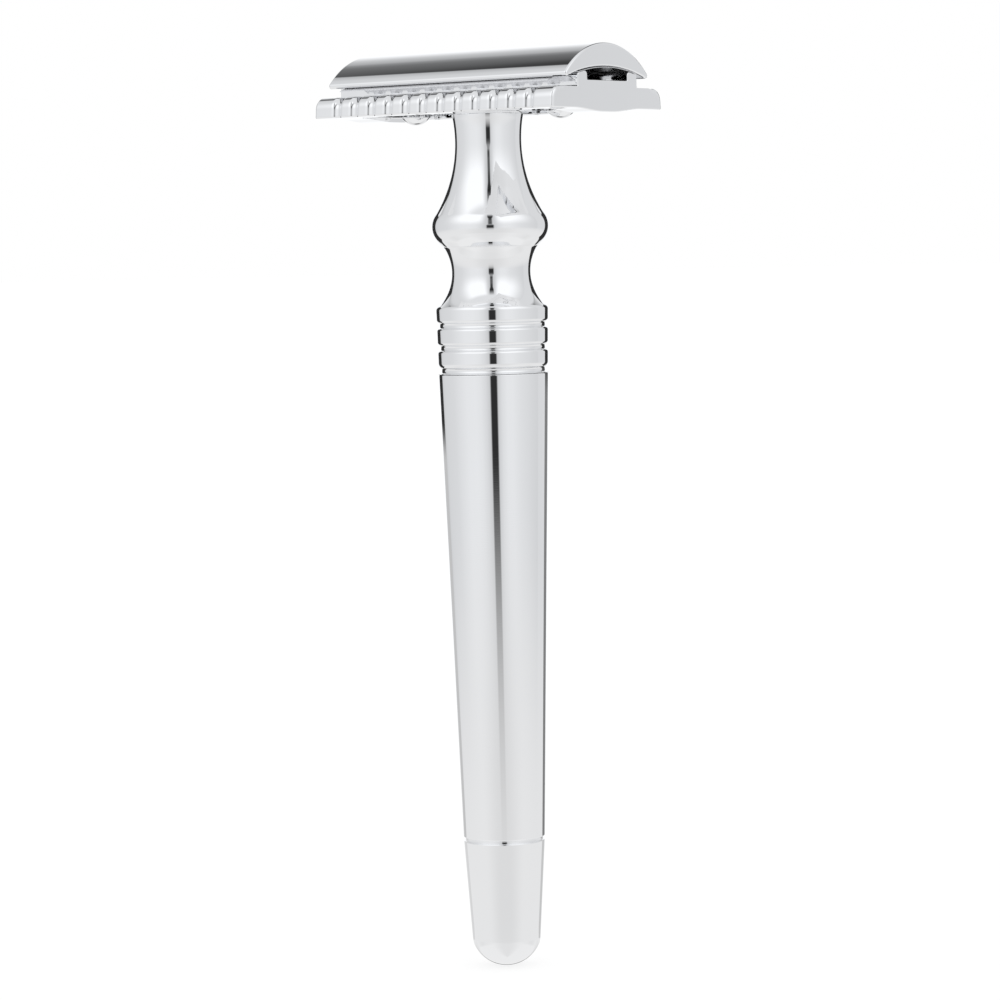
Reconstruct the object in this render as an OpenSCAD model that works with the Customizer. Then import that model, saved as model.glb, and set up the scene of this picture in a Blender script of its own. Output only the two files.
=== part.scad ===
// Three-piece double-edge safety razor with a closed, scalloped safety bar.
// The cap and the base plate clamp a bent blade between them. The cap's
// threaded post screws down into the top of a long turned handle.
//
// Millimetres. X runs along the head, Y across it, Z up the handle.
// The origin is the lowest point of the foot, on the handle's axis.

/* [Head] */
// Length of the cap and of the base plate, which a double-edge blade fills
head_l = 43; // [42.8:0.1:44]
// Width of the cap, less than the blade's so that both edges stand clear
cap_w = 19.9; // [19:0.1:20.5]
// Top of the cap above the underside of the base plate
cap_top_z = 9.3; // [9:0.1:10]
// Middle of the cap's hollow underside, above the underside of the base plate
cap_hollow_z = 5.9; // [5.7:0.1:6.2]
// Radius of the rounded lips along the cap's long edges
lip_r = 0.45; // [0.35:0.05:0.55]
// Height of the lips' centre line above the underside of the base plate
lip_z = 4.8; // [4.6:0.1:5]

/* [Base plate] */
// Width of the base plate at its underside
base_w = 26.6; // [25.8:0.1:27.4]
// Thickness of the safety bar
bar_t = 3; // [2.6:0.1:3.2]
// Radius of the safety bar's rounded top corner
bar_corner_r = 1.75; // [1.2:0.05:1.8]
// How far the safety bar's side leans out towards its bottom edge
bar_lean = 0.1; // [0:0.1:0.6]
// Width of each rail that holds up the blade
rail_w = 2.3; // [1.8:0.1:2.6]
// Width of the channel between the two rails
channel_w = 9.7; // [9:0.1:10.4]
// Height of the channel's floor
channel_z = 3.95; // [3.6:0.05:4.2]
// Depth of the rounded keel under each end of the base plate
keel_d = 0.5; // [0.3:0.1:0.8]
// Width of the keel
keel_w = 15; // [14:0.2:16]
// Length of the hollow under the base plate
hollow_l = 33.4; // [32:0.2:38]
// Width of the hollow
hollow_w = 18.6; // [16:0.2:20]
// Height of the hollow's roof, which the neck seats against
hollow_z = 0.8; // [0.5:0.1:1.2]

/* [Scallops] */
// Number of scallops along each safety bar
scallop_n = 12; // [8:1:12]
// Distance from one scallop to the next
scallop_pitch = 3.15; // [2.6:0.05:3.3]
// Radius of each scallop's hollow
scallop_r = 0.8; // [0.7:0.05:1.1]
// Depth of each scallop
scallop_d = 0.5; // [0.4:0.1:0.8]

/* [Post, studs and blade] */
// Diameter of the cap's threaded post, over its thread
post_d = 5; // [4.8:0.1:5]
// Length of the post below the base plate's underside
post_below = 6.4; // [6:0.2:8]
// Diameter of each guide stud
stud_d = 4.2; // [3.8:0.1:4.3]
// Distance of each guide stud from the handle's axis
stud_x = 13.2; // [13:0.1:13.4]
// How far the guide studs stand out below the base plate
stud_below = 1.1; // [1:0.1:1.6]
// Thickness of the blade
blade_t = 0.1; // [0.1:0.01:0.12]
// Width of the blade before it is bent
blade_w = 22; // [21.8:0.1:22.2]

/* [Neck] */
// Height of the base plate's underside above the lowest point of the foot
handle_h = 124.2; // [110:0.2:135]
// Radius of the neck at its slimmest
neck_r = 4.85; // [4.7:0.05:5.2]
// Radius of the round bulb
bulb_r = 8.5; // [8:0.1:9]
// Depth of the bulb's widest point below the base plate's underside
bulb_depth = 16.15; // [15.5:0.05:17]
// Radius of the waist below the bulb
waist_r = 5.75; // [5.5:0.05:6]
// Depth of the waist's slimmest point below the base plate's underside
waist_depth = 22.8; // [22.6:0.05:23]

/* [Rings] */
// Number of rings at the top of the grip
ring_n = 3; // [2:1:3]
// Radius of the topmost ring
ring_r = 8.2; // [8:0.05:8.4]
// Distance from one ring to the next
ring_pitch = 3.25; // [3:0.05:3.4]
// Width of the groove below each ring
ring_gap = 1.1; // [0.8:0.1:1.3]
// Depth of the groove below each ring
ring_groove_d = 0.65; // [0.4:0.05:0.8]

/* [Barrel and foot] */
// Radius at the top of the barrel
barrel_top_r = 8; // [7.8:0.05:8.1]
// Radius at the bottom of the barrel
barrel_end_r = 5.95; // [5.8:0.05:6.4]
// Height of the foot cap's visible part
foot_h = 19; // [17:0.5:22]
// Radius of the rounded end of the foot
foot_dome_r = 5.2; // [5.1:0.05:5.6]
// Width of the fine groove between the barrel and the foot
foot_gap = 0.45; // [0.3:0.05:0.6]

/* [Hidden] */
$fn = 96;

// Running clearance between parts that slide or turn on each other
run_clear = 0.05;
// Overshoot of a cutting shape past the face that it cuts
over = 1;

// Cap section: an outer arc that the lips touch, and a flatter arc hollowed out below.
lip_y = cap_w / 2 - lip_r;
lip_drop = cap_top_z - lip_z;
cap_arc = (lip_y * lip_y + lip_drop * lip_drop - lip_r * lip_r) / (2 * (lip_drop - lip_r));
cap_arc_z = cap_top_z - cap_arc;
lip_angle = atan2(lip_z - cap_arc_z, lip_y);
hollow_y = lip_y - lip_r * cos(lip_angle);
hollow_drop = cap_hollow_z - (lip_z - lip_r * sin(lip_angle));
hollow_arc = (hollow_y * hollow_y + hollow_drop * hollow_drop) / (2 * hollow_drop);
hollow_arc_z = cap_hollow_z - hollow_arc;

// The blade bends about the hollow's axis, pressed down by the two lips.
blade_arc = norm([lip_y, lip_z - hollow_arc_z]) - lip_r;
blade_slot_w = 2.4;
blade_slot_l = 34;
blade_tab_l = 2.7;
blade_tab_w = 14;
blade_hole_clear = 0.4;

// Sockets in the cap that hold the post and the studs
post_top_z = 7.6;
stud_top_z = 7.2;
stud_dome_r = (stud_d * stud_d / 4 + stud_below * stud_below) / (2 * stud_below);
post_chamfer = 0.5;

// Base plate
rail_out = channel_w / 2 + rail_w;
rail_corner_r = 0.55;
keel_arc = (keel_w * keel_w / 4 + keel_d * keel_d) / (2 * keel_d);
hollow_corner_r = 2;
drain_x = 9.4;
drain_w = 2;
drain_l = 6;

// Neck: a long flare runs into the bulb, and a tighter arc forms the waist below it.
ring_top_depth = 27.7;
flare_arc = 19.3;
bulb_arc = 3.3;
flare_angle = acos(1 - (bulb_r - neck_r) / (flare_arc + bulb_arc));
flare_depth = bulb_depth - (flare_arc + bulb_arc) * sin(flare_angle);
bulb_under_angle = 44;
ledge_r = 6.8;
waist_arc = 6.45;
waist_angle = asin((ring_top_depth - waist_depth) / waist_arc);
ledge_angle = acos((waist_r + waist_arc - ledge_r) / waist_arc);
seat_angle = asin((flare_depth + hollow_z) / flare_arc);
arc_steps = 14;

// Rings
ring_h = ring_pitch - ring_gap;
ring_taper = 0.07;
ring_edge_r = 0.15;
barrel_top_depth = ring_top_depth + ring_n * ring_pitch;
neck_end_z = -ring_top_depth - ring_edge_r;

// Handle inside
insert_r = 3.6;
insert_l = 10;
flange_r = 4.2;
flange_t = 0.8;
rod_r = 2.5;
rod_top_depth = 31;
rod_foot_z = 12;
seal_r = 0.35;
gland_w = 1;
neck_spigot_r = 5.6;
neck_spigot_l = 5.5;
foot_spigot_r = 4.4;
foot_spigot_l = 5.5;
gland_at = 2.6;

// Foot
foot_top_r = barrel_end_r - 0.02;
foot_end_r = 4.7;
foot_groove_r = barrel_end_r - 0.25;

// Points along an arc in the plane, from angle a0 to angle a1
function arc(centre, r, a0, a1) =
    [for (i = [0:arc_steps]) let (a = a0 + (a1 - a0) * i / arc_steps) centre + r * [cos(a), sin(a)]];

// Sweep a section drawn in the Y-Z plane along X, centred on the handle's axis
module along_x(length) {
    rotate([90, 0, 90]) linear_extrude(length, center = true) children();
}

// Raise a part drawn from the base plate's underside to its place on the handle
module on_handle() {
    translate([0, 0, handle_h]) children();
}

// A round section with a rounded rim top and bottom, for one ring of the grip
module ring_section(r, z_top, z_low) {
    square_h = z_top - z_low;
    translate([0, z_low]) square([r - ring_edge_r, square_h]);
    translate([0, z_low + ring_edge_r]) square([r, square_h - 2 * ring_edge_r]);
    for (z = [z_low + ring_edge_r, z_top - ring_edge_r])
        translate([r - ring_edge_r, z]) circle(ring_edge_r);
}

// A rubber ring of round section
module seal(mid_r, z) {
    translate([0, 0, z]) rotate_extrude() translate([mid_r, 0]) circle(seal_r);
}

// The crescent cap, with two press-fit sockets for studs and one for the post
module cap() {
    color("gainsboro") on_handle() difference() {
        along_x(head_l) cap_section();
        translate([0, 0, -over]) cylinder(d = post_d, h = post_top_z + over);
        for (x = [-stud_x, stud_x])
            translate([x, 0, -over]) cylinder(d = stud_d, h = stud_top_z + over);
    }
}

module cap_section() {
    reach = 2 * cap_w;
    intersection() {
        difference() {
            translate([0, cap_arc_z]) circle(cap_arc);
            translate([0, hollow_arc_z]) circle(hollow_arc);
        }
        translate([0, cap_arc_z]) polygon([
            [0, 0],
            reach * [cos(lip_angle), sin(lip_angle)],
            [0, 2 * reach],
            reach * [-cos(lip_angle), sin(lip_angle)]
        ]);
    }
    for (side = [-1, 1])
        translate([side * lip_y, lip_z]) circle(lip_r);
}

// The threaded post, drawn plain over its thread, with a chamfered tip
module cap_post() {
    color("silver") on_handle() {
        translate([0, 0, -post_below + post_chamfer])
            cylinder(d = post_d, h = post_top_z + post_below - post_chamfer);
        translate([0, 0, -post_below])
            cylinder(d1 = post_d - 2 * post_chamfer, d2 = post_d, h = post_chamfer);
    }
}

// A guide stud: a round pin with a domed lower end
module guide_stud(x) {
    color("silver") on_handle() translate([x, 0, 0]) rotate_extrude() intersection() {
        translate([0, -stud_below]) square([stud_d / 2, stud_top_z + stud_below]);
        union() {
            translate([0, stud_dome_r - stud_below]) circle(stud_dome_r);
            translate([0, stud_dome_r - stud_below]) square([stud_d, stud_top_z]);
        }
    }
}

// The blade, bent over the rails, with its long slot and its notched corners
module blade() {
    color("lightsteelblue") on_handle() intersection() {
        along_x(head_l) difference() {
            translate([0, hollow_arc_z]) circle(blade_arc);
            translate([0, hollow_arc_z]) circle(blade_arc - blade_t);
        }
        linear_extrude(cap_top_z) blade_outline();
    }
}

module blade_outline() {
    bent_w = 2 * blade_arc * sin(blade_w / 2 / blade_arc * 180 / PI);
    difference() {
        union() {
            square([head_l - 2 * blade_tab_l, bent_w], center = true);
            square([head_l, blade_tab_w], center = true);
        }
        square([blade_slot_l, blade_slot_w], center = true);
        circle(post_d / 2 + blade_hole_clear);
        for (x = [-stud_x, stud_x])
            translate([x, 0]) circle(stud_d / 2 + blade_hole_clear);
    }
}

// The base plate: two scalloped bars, two rails, and a keel under each end of a hollow
module base_plate() {
    row_x = (scallop_n - 1) / 2 * scallop_pitch;
    color("gainsboro") on_handle() difference() {
        along_x(head_l) base_section();
        for (x = [-row_x : scallop_pitch : row_x + 0.01], side = [-1, 1])
            translate([x, side * (base_w / 2 + scallop_r - scallop_d), -over])
                cylinder(r = scallop_r, h = bar_t + 2 * over);
        translate([0, 0, -2 * over]) cylinder(r = post_d / 2 + run_clear, h = 4 * bar_t);
        for (x = [-stud_x, stud_x])
            translate([x, 0, -2 * over]) cylinder(r = stud_d / 2 + run_clear, h = 4 * bar_t);
        for (x = [-drain_x, drain_x])
            translate([x, 0, 0]) drain_slot();
        hollow();
    }
}

module base_section() {
    top_y = base_w / 2 - bar_lean;
    corner_y = top_y - bar_corner_r;
    corner_z = bar_t - bar_corner_r;
    polygon([
        [-base_w / 2, 0], [base_w / 2, 0], [top_y, corner_z], [-top_y, corner_z]
    ]);
    translate([-corner_y, 0]) square([2 * corner_y, bar_t]);
    intersection() {
        for (side = [-1, 1])
            translate([side * corner_y, corner_z]) circle(bar_corner_r);
        translate([-top_y, 0]) square([2 * top_y, bar_t]);
    }
    translate([-rail_out, 0]) square([2 * rail_out, channel_z]);
    for (side = [-1, 1]) rail_section(side);
    intersection() {
        translate([0, keel_arc - keel_d]) circle(keel_arc);
        translate([-keel_w / 2, -keel_d]) square([keel_w, keel_d + bar_t]);
    }
}

// One rail, rounded at both top corners and shaped on top to the bent blade
module rail_section(side) {
    rail_z = cap_hollow_z - 0.55;
    mid_y = side * (channel_w / 2 + rail_w / 2);
    intersection() {
        union() {
            translate([mid_y - rail_w / 2, 0]) square([rail_w, rail_z - rail_corner_r]);
            translate([mid_y - rail_w / 2 + rail_corner_r, 0])
                square([rail_w - 2 * rail_corner_r, rail_z]);
            for (edge = [-1, 1])
                translate([mid_y + edge * (rail_w / 2 - rail_corner_r), rail_z - rail_corner_r])
                    circle(rail_corner_r);
        }
        translate([0, hollow_arc_z]) circle(blade_arc - blade_t);
    }
}

// The round-cornered hollow that the neck rises into, with the studs' ends beside it
module hollow() {
    corner_x = hollow_l / 2 - hollow_corner_r;
    corner_y = hollow_w / 2 - hollow_corner_r;
    translate([0, 0, -over]) linear_extrude(hollow_z + over) {
        square([hollow_l, 2 * corner_y], center = true);
        square([2 * corner_x, hollow_w], center = true);
        for (x = [-corner_x, corner_x], y = [-corner_y, corner_y])
            translate([x, y]) circle(hollow_corner_r);
    }
}

// A round-ended slot that lets water and soap through the base plate
module drain_slot() {
    translate([-drain_w / 2, -(drain_l - drain_w) / 2, -2 * over])
        cube([drain_w, drain_l - drain_w, 4 * bar_t]);
    for (side = [-1, 1])
        translate([0, side * (drain_l - drain_w) / 2, -2 * over])
            cylinder(d = drain_w, h = 4 * bar_t);
}

// The turned neck: flare, bulb, waist and rings, with a spigot for the barrel
module handle_neck() {
    color("gainsboro") on_handle() difference() {
        rotate_extrude() neck_section();
        translate([0, 0, hollow_z - insert_l]) cylinder(r = insert_r, h = insert_l + over);
        translate([0, 0, hollow_z - flange_t]) cylinder(r = flange_r, h = flange_t + over);
        translate([0, 0, -barrel_top_depth - neck_spigot_l - over])
            cylinder(r = rod_r, h = barrel_top_depth + neck_spigot_l + over - rod_top_depth);
    }
}

module neck_section() {
    groove_end = barrel_top_depth;
    difference() {
        union() {
            polygon(neck_outline());
            for (i = [0 : ring_n - 1])
                ring_section(ring_r - i * ring_taper, -ring_top_depth - i * ring_pitch,
                    -ring_top_depth - i * ring_pitch - ring_h);
            translate([0, -groove_end])
                square([ring_r - ring_n * ring_taper - ring_groove_d, ring_n * ring_pitch]);
            translate([0, -groove_end - neck_spigot_l]) square([neck_spigot_r, neck_spigot_l + over]);
        }
        translate([neck_spigot_r - 2 * seal_r, -groove_end - gland_at - gland_w / 2])
            square([over + 2 * seal_r, gland_w]);
    }
}

// The neck's outline from inside the first ring up to the seat
function neck_outline() = concat(
    [[0, neck_end_z], [waist_r + waist_arc * (1 - cos(waist_angle)), neck_end_z]],
    arc([waist_r + waist_arc, -waist_depth], waist_arc, 180 + waist_angle, 180 - ledge_angle),
    arc([bulb_r - bulb_arc, -bulb_depth], bulb_arc, -bulb_under_angle, flare_angle),
    arc([neck_r + flare_arc, -flare_depth], flare_arc, 180 + flare_angle, 180 - seat_angle),
    [[0, hollow_z]]
);

// The threaded sleeve pressed into the neck, drawn plain inside its thread
module thread_insert() {
    color("goldenrod") on_handle() difference() {
        union() {
            translate([0, 0, hollow_z - insert_l]) cylinder(r = insert_r, h = insert_l);
            translate([0, 0, hollow_z - flange_t]) cylinder(r = flange_r, h = flange_t);
        }
        translate([0, 0, hollow_z - insert_l - over])
            cylinder(r = post_d / 2 + run_clear, h = insert_l + 2 * over);
    }
}

module neck_seal() {
    color("dimgray")
        seal(neck_spigot_r - seal_r, handle_h - barrel_top_depth - gland_at);
}

// The tapered grip tube, bored to take the neck's and the foot's spigots
module barrel() {
    barrel_h = handle_h - barrel_top_depth - foot_h;
    color("gainsboro") translate([0, 0, foot_h]) difference() {
        cylinder(r1 = barrel_end_r, r2 = barrel_top_r, h = barrel_h);
        translate([0, 0, -over]) cylinder(r = foot_spigot_r, h = barrel_h + 2 * over);
        translate([0, 0, barrel_h - neck_spigot_l]) cylinder(r = neck_spigot_r, h = neck_spigot_l + over);
    }
}

// The rod that pulls the foot up and the neck down onto the barrel
module tie_rod() {
    color("silver") translate([0, 0, rod_foot_z])
        cylinder(r = rod_r, h = handle_h - rod_top_depth - rod_foot_z);
}

module foot_seal() {
    color("dimgray") seal(foot_spigot_r - seal_r, foot_h + gland_at);
}

// The round-ended foot that closes the bottom of the barrel
module foot_cap() {
    color("gainsboro") difference() {
        rotate_extrude() foot_section();
        translate([0, 0, rod_foot_z]) cylinder(r = rod_r, h = foot_h);
    }
}

module foot_section() {
    difference() {
        union() {
            intersection() {
                polygon([
                    [0, 0], [foot_end_r, 0], [foot_top_r, foot_h - foot_gap], [0, foot_h - foot_gap]
                ]);
                union() {
                    translate([0, foot_dome_r]) circle(foot_dome_r);
                    translate([0, foot_dome_r]) square([2 * foot_dome_r, foot_h]);
                }
            }
            translate([0, foot_h - foot_gap - over]) square([foot_groove_r, foot_gap + over]);
            translate([0, foot_h - over]) square([foot_spigot_r, foot_spigot_l + over]);
        }
        translate([foot_spigot_r - 2 * seal_r, foot_h + gland_at - gland_w / 2])
            square([over + 2 * seal_r, gland_w]);
    }
}

cap();
cap_post();
guide_stud(-stud_x);  // guide_stud_left
guide_stud(stud_x);  // guide_stud_right
blade();
base_plate();
handle_neck();
thread_insert();
neck_seal();
barrel();
tie_rod();
foot_seal();
foot_cap();
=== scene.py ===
"""Looks of a three-piece safety razor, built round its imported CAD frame.

Every shape below is worked out in millimetres and scaled to metres as its mesh is made.
Heights are measured from the underside of the base plate, as on the CAD model.
"""

import math

import bmesh
import bpy
from mathutils import Matrix, Vector


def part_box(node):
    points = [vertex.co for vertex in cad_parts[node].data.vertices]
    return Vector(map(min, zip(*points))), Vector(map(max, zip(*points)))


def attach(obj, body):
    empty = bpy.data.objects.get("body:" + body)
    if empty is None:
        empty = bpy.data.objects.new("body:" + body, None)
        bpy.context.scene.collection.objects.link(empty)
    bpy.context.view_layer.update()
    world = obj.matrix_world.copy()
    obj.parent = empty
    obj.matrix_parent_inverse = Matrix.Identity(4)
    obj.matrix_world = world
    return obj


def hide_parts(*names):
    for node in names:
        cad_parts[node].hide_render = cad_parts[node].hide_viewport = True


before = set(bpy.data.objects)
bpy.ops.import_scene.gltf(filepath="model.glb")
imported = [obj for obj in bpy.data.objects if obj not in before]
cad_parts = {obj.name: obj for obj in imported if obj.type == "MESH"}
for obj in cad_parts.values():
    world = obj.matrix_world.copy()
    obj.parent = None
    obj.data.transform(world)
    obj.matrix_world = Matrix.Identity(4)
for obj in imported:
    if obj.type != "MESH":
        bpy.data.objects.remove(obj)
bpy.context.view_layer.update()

MM = 0.001


def box_mm(node):
    """Lowest and highest corner of a CAD node, in millimetres."""
    low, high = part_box(node)
    return Vector(low) / MM, Vector(high) / MM


# ---------------------------------------------------------------- sizes, from the frame

cap_low, cap_high = box_mm("cap")
base_low, base_high = box_mm("base_plate")
neck_high = box_mm("handle_neck")[1]
barrel_low, barrel_high = box_mm("barrel")
foot_low, foot_high = box_mm("foot_cap")
stud_low, stud_high = box_mm("guide_stud_right")
post_low, post_high = box_mm("cap_post")

SEAT_Z = 0.8                        # roof of the hollow under the plate, where the neck seats
PLATE_Z = neck_high.z - SEAT_Z      # underside of the base plate
HEAD_L = cap_high.x - cap_low.x
CAP_W = cap_high.y - cap_low.y
CAP_TOP = cap_high.z - PLATE_Z
BASE_W = base_high.y - base_low.y
KEEL_D = PLATE_Z - base_low.z
BULB_R = neck_high.x
POST_R = post_high.x
POST_TIP = post_low.z - PLATE_Z
STUD_X = (stud_low.x + stud_high.x) / 2
STUD_R = (stud_high.x - stud_low.x) / 2
STUD_TIP = stud_low.z - PLATE_Z

# Head sections
CAP_HOLLOW_Z = 5.9
LIP_R = 0.45
LIP_Y = CAP_W / 2 - LIP_R
LIP_Z = 4.8
CAP_BEVEL = 0.34
BASE_BEVEL = 0.15
BASE_END_R = 0.45
BAR_T = 3.0
BAR_CORNER_R = 1.75
BAR_LEAN = 0.1
RAIL_OUT = 7.15
RAIL_IN = 4.85
RAIL_GAP = 0.02
CHANNEL_Z = 3.95
KEEL_FLAT = 1.0
KEEL_HALF_W = 8.0
HOLLOW_L = 33.4
HOLLOW_W = 18.6
HOLLOW_CORNER_R = 2.0
HOLLOW_EDGE_R = 0.2
FOOT_R = 0.25
FLUTE_N = 12
FLUTE_PITCH = 3.15
FLUTE_R = 0.9
FLUTE_D = 0.38
FLUTE_EDGE_R = 0.7
FLUTE_RUN = 1.4
FLUTE_GROWTH = 0.6
DRAIN_X = 9.4
DRAIN_W = 2.0
DRAIN_L = 6.0
CLEAR = 0.05
BLADE_T = 0.1
BLADE_HALF_W = 11.0
BLADE_GROUND = 0.45
BLADE_TAB_L = 2.7
BLADE_TAB_HALF = 7.0
BLADE_SLOT_W = 2.4
BLADE_SLOT_L = 34
BLADE_HOLE_GAP = 0.4

# Handle outline
NECK_R = 4.85
WAIST_R = 5.75
FLARE_ARC = 19.3
BULB_ARC = 3.3
WAIST_ARC = 6.45
BULB_Z = -16.15
BULB_UNDER = 45
WAIST_Z = -22.8
LEDGE_R = 6.93
CREASE_D = 0.04
SHOULDER_Z = 0.35
SHOULDER_R = 0.35
BOSS_R = 4.7
RING_TOP_Z = -27.7
RING_PITCH = 3.25
RING_N = 3
RING_R = 8.2
RING_TAPER = 0.07
RING_TOP_R = 0.8
COVE_BELOW = 2.7
COVE_R = 0.48
COVE_D = 0.45
COVE_EDGE_R = 0.5
LAST_EDGE_R = 0.9
BARREL_END_R = 5.95
TOP_EDGE_R = 0.18
LOW_EDGE_R = 0.22
FOOT_EDGE_R = 0.16
FOOT_GAP = 0.45
GAP_D = 0.25
FOOT_END_R = 4.7
DOME_R = 5.2
DOME_END = -17.0
DOME_BLEND_R = 1.2
TURN_STEPS = 192

# Inside the handle
INSERT_R = 3.6
INSERT_L = 10
FLANGE_R = 4.2
FLANGE_T = 0.8
NECK_PLUG_R = 5.6
FOOT_PLUG_R = 4.4
PLUG_L = 5.5
SEAL_FROM_END = 2.1
SEAL_W = 1.0
SEAL_D = 0.7
ROD_R = 2.5
ROD_TOP_Z = -31
ROD_END = 12


# ---------------------------------------------------------------- outlines

def arc(centre, radius, start, end, steps):
    """Points on an arc from one angle to another, in degrees."""
    points = []
    for i in range(steps + 1):
        angle = math.radians(start + (end - start) * i / steps)
        points.append((centre[0] + radius * math.cos(angle), centre[1] + radius * math.sin(angle)))
    return points


def rounded(corners, closed=False, steps=6):
    """An outline through corners, where a corner (x, y, r) is rounded to radius r."""
    points = []
    count = len(corners)
    for i, corner in enumerate(corners):
        here = Vector(corner[:2])
        radius = corner[2] if len(corner) > 2 else 0
        at_end = not closed and i in (0, count - 1)
        if radius == 0 or at_end:
            points.append((here.x, here.y))
            continue
        back = (Vector(corners[i - 1][:2]) - here).normalized()
        ahead = (Vector(corners[(i + 1) % count][:2]) - here).normalized()
        half = back.angle(ahead) / 2
        centre = here + (back + ahead).normalized() * radius / math.sin(half)
        first = here + back * radius / math.tan(half) - centre
        turn = first.angle_signed(here + ahead * radius / math.tan(half) - centre)
        for k in range(steps + 1):
            spoke = Matrix.Rotation(-turn * k / steps, 2) @ first
            points.append((centre.x + spoke.x, centre.y + spoke.y))
    return points


def inset(ring, depth):
    """Moves an anticlockwise ring of points inwards along its normals."""
    moved = []
    count = len(ring)
    for i, (x, y) in enumerate(ring):
        before, after = ring[i - 1], ring[(i + 1) % count]
        along = Vector((after[0] - before[0], after[1] - before[1])).normalized()
        moved.append((x - along.y * depth, y + along.x * depth))
    return moved


def cove_half(radius, depth, edge_r):
    """Half the width of a round cove, with its rounded edges."""
    reach = radius + edge_r
    return math.sqrt(reach ** 2 - (reach - depth) ** 2)


def cove(away, radius, depth, edge_r):
    """How deep a round cove is at a distance from its middle."""
    edge = cove_half(radius, depth, edge_r)
    if away < edge * radius / (radius + edge_r):
        return depth - radius + math.sqrt(radius ** 2 - away ** 2)
    if away < edge:
        return edge_r - math.sqrt(edge_r ** 2 - (edge - away) ** 2)
    return 0


# ---------------------------------------------------------------- meshes

def add_piece(name, bm, material, body, node, sharp=40):
    """Makes a shaded piece from a mesh in millimetres, and ties it to the frame."""
    bmesh.ops.recalc_face_normals(bm, faces=bm.faces)
    bmesh.ops.scale(bm, vec=(MM, MM, MM), verts=bm.verts)
    mesh = bpy.data.meshes.new(name)
    bm.to_mesh(mesh)
    bm.free()
    piece = bpy.data.objects.new(name, mesh)
    bpy.context.scene.collection.objects.link(piece)
    mesh.materials.append(material)
    shade(piece, sharp)
    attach(piece, body)
    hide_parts(node)
    return piece


def shade(piece, sharp):
    """Smooth shading that keeps flat faces flat and edges over the given angle sharp."""
    piece.data.shade_smooth()
    piece.data.set_sharp_from_angle(angle=math.radians(sharp))
    if "flat faces" not in piece.modifiers:
        weighted = piece.modifiers.new("flat faces", "WEIGHTED_NORMAL")
        weighted.keep_sharp = True


def lathe(outline, x=0, closed=False, steps=TURN_STEPS):
    """Turns an outline of (radius, height) points about a vertical axis at x."""
    bm = bmesh.new()
    rings = []
    for radius, height in outline:
        if radius < 1e-6:
            rings.append([bm.verts.new((x, 0, PLATE_Z + height))])
            continue
        ring = []
        for k in range(steps):
            angle = 2 * math.pi * k / steps
            ring.append(bm.verts.new((x + radius * math.cos(angle), radius * math.sin(angle),
                                      PLATE_Z + height)))
        rings.append(ring)
    pairs = list(zip(rings, rings[1:]))
    if closed:
        pairs.append((rings[-1], rings[0]))
    for low, high in pairs:
        join_rings(bm, low, high)
    return bm


def join_rings(bm, low, high):
    """Faces between two rings, either of which may be a single point."""
    count = max(len(low), len(high))
    for k in range(count):
        after = (k + 1) % count
        if len(low) == 1:
            bm.faces.new((low[0], high[after], high[k]))
        elif len(high) == 1:
            bm.faces.new((low[k], low[after], high[0]))
        else:
            bm.faces.new((low[k], low[after], high[after], high[k]))


def sweep(sections):
    """A closed solid through rings of (y, z) points, each at its own x."""
    bm = bmesh.new()
    rings = []
    for x, ring in sections:
        rings.append([bm.verts.new((x, y, PLATE_Z + z)) for y, z in ring])
    for low, high in zip(rings, rings[1:]):
        join_rings(bm, low, high)
    bm.faces.new(rings[0])
    bm.faces.new(rings[-1])
    return bm


def bevelled_ends(length, bevel, steps=5):
    """Stations (x, inset) that round off the start of a sweep; mirrored for its end."""
    start = []
    for i in range(steps + 1):
        angle = math.radians(90 * (1 - i / steps))
        start.append((-length / 2 + bevel * (1 - math.sin(angle)), bevel * (1 - math.cos(angle))))
    return start, [(-x, depth) for x, depth in reversed(start)]


def prism(outline, low, high):
    """An upright cutter through an outline of (x, y) points."""
    bm = bmesh.new()
    floor = [bm.verts.new((x, y, PLATE_Z + low)) for x, y in outline]
    roof = [bm.verts.new((x, y, PLATE_Z + high)) for x, y in outline]
    join_rings(bm, floor, roof)
    bm.faces.new(floor)
    bm.faces.new(roof)
    bmesh.ops.recalc_face_normals(bm, faces=bm.faces)
    return bm


def round_hole(x, radius, steps=72):
    """A circle's outline about (x, 0), without a repeated last point."""
    return arc((x, 0), radius, 0, 360 - 360 / steps, steps - 1)


def long_hole(x, width, length, upright):
    """A slot's outline, with its long way along Y if upright and else along X."""
    straight = length / 2 - width / 2
    points = arc((0, straight), width / 2, 0, 180, 16) + arc((0, -straight), width / 2, 180, 360, 16)
    if upright:
        return [(x + px, py) for px, py in points]
    return [(x + py, -px) for px, py in points]


def cut(piece, prisms, sharp=40):
    """Cuts the prisms out of a piece for good."""
    whole = bmesh.new()
    for part in prisms:
        part_mesh = bpy.data.meshes.new("cutter")
        part.to_mesh(part_mesh)
        part.free()
        whole.from_mesh(part_mesh)
        bpy.data.meshes.remove(part_mesh)
    bmesh.ops.scale(whole, vec=(MM, MM, MM), verts=whole.verts)
    mesh = bpy.data.meshes.new("cutters")
    whole.to_mesh(mesh)
    whole.free()
    cutter = bpy.data.objects.new("cutters", mesh)
    bpy.context.scene.collection.objects.link(cutter)
    boolean = piece.modifiers.new("cut", "BOOLEAN")
    boolean.object = cutter
    boolean.solver = "EXACT"
    piece.modifiers.move(len(piece.modifiers) - 1, 0)
    piece.modifiers["flat faces"].show_viewport = False
    shown = bpy.context.evaluated_depsgraph_get()
    piece.data = bpy.data.meshes.new_from_object(piece.evaluated_get(shown))
    piece.modifiers.remove(boolean)
    piece.modifiers["flat faces"].show_viewport = True
    bpy.data.objects.remove(cutter)
    bpy.data.meshes.remove(mesh)
    shade(piece, sharp)


# ---------------------------------------------------------------- materials

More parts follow.
